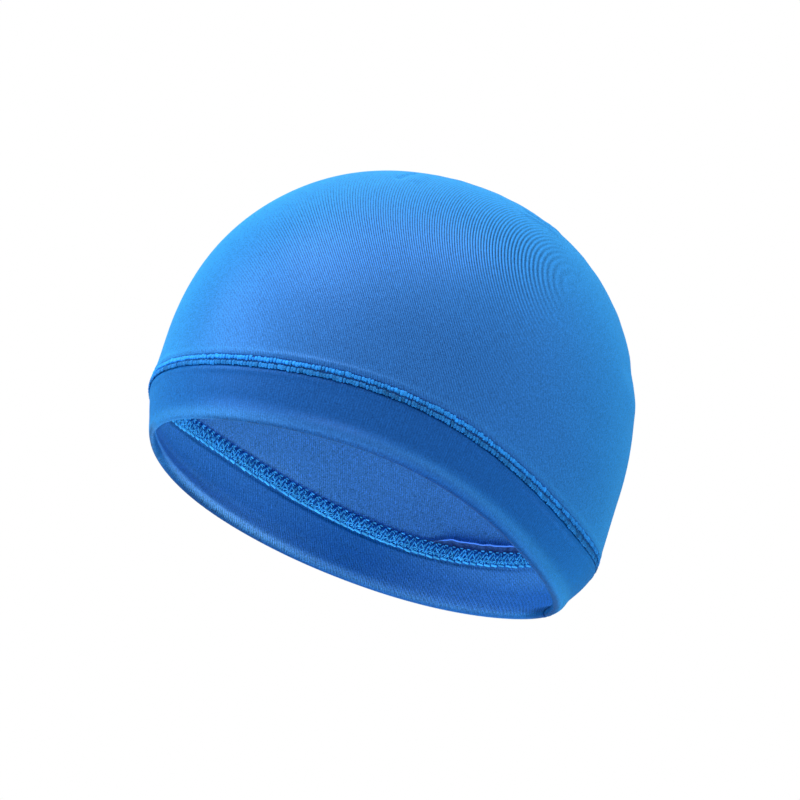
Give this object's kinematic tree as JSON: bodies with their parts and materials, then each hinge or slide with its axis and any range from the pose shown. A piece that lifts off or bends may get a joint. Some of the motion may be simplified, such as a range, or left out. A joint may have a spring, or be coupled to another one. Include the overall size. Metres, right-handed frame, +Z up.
{
  "type": "cycling skull cap",
  "caption": "Close-fitting stretch-knit skull cap in its worn form: a smooth dome sewn with double stitching to a folded band, open below for the head.",
  "frame": {"origin": "middle of the rim opening, at the rim's mean level, where the cap sits on a head", "axes": "+Z up through the crown, -Y the front, +X the wearer's left"},
  "size_m": [0.159, 0.2018, 0.1576],
  "materials": {
    "cloth": "satin blue polyester-elastane jersey with fine upright wales",
    "thread": "blue textured sewing thread, slightly brighter than the cloth"
  },
  "bodies": {
    "root": {"crown": "cloth", "band": "cloth", "band_seam_allowance": "thread", "crown_seam_allowance": "thread"}
  },
  "joints": []
}
